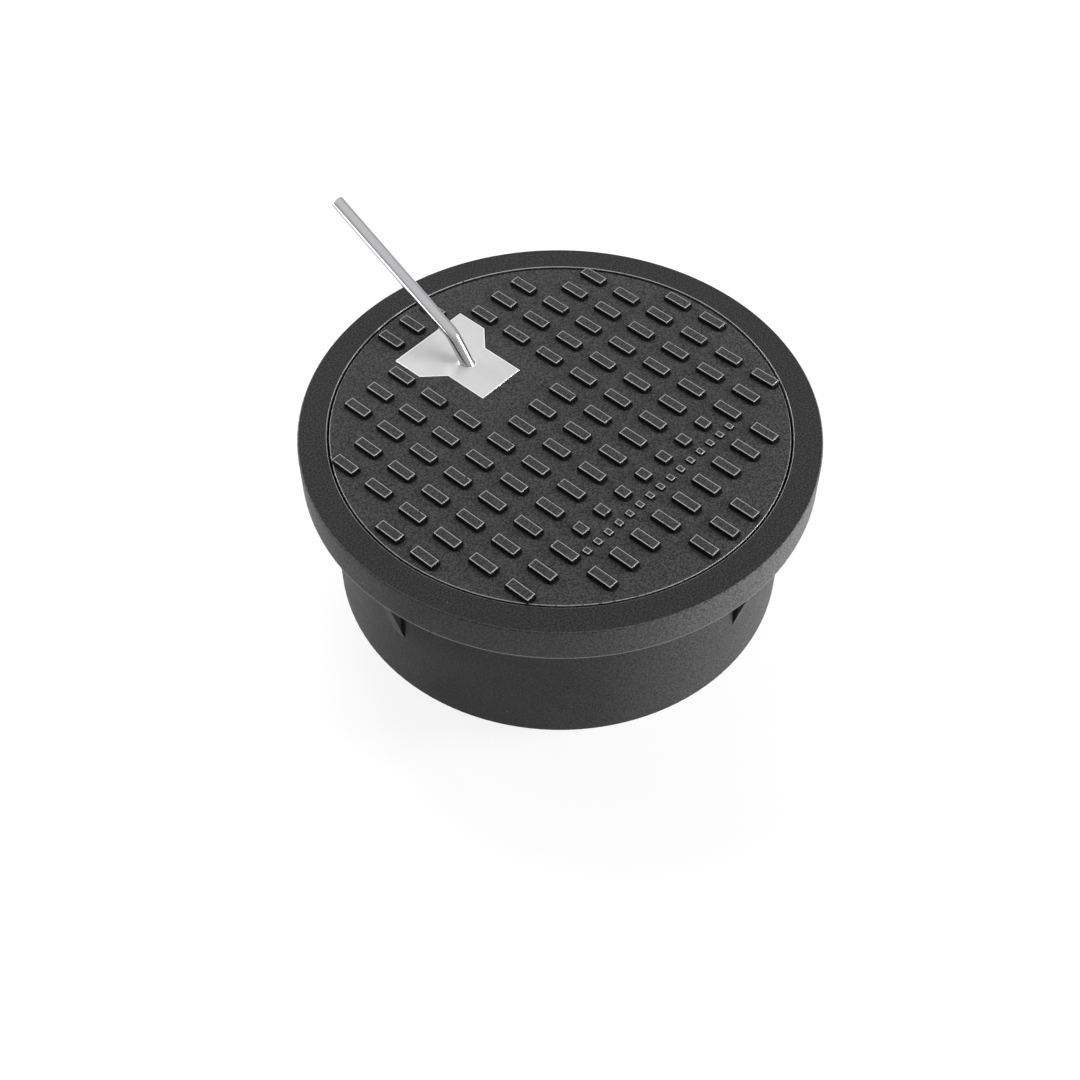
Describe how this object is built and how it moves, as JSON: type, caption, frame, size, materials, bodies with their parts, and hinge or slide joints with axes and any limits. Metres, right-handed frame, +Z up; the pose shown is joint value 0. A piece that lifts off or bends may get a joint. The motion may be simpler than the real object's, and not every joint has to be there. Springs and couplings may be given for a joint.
{
  "type": "ductile iron manhole cover",
  "caption": "Round ductile iron manhole cover with raised lug tread, seated in a deep flanged ring frame, with a steel keyhole plate and a bent lifting key.",
  "frame": {"origin": "centre of the ring's foot, on the axis of the clear opening", "axes": "+Z up, out of the ground; +Y from the cover's centre out to the keyhole; +X along the short ends of the lugs"},
  "size_m": [0.68, 0.7436, 0.4119],
  "materials": {
    "coated_iron": "sand cast, dipped in matt black bitumen paint",
    "plate_steel": "zinc plated flat plate, satin",
    "bar_steel": "bright drawn round bar"
  },
  "bodies": {
    "root": {"frame": "coated_iron", "cover": "coated_iron", "keyhole_plate": "plate_steel", "lifting_key": "bar_steel"}
  },
  "joints": []
}
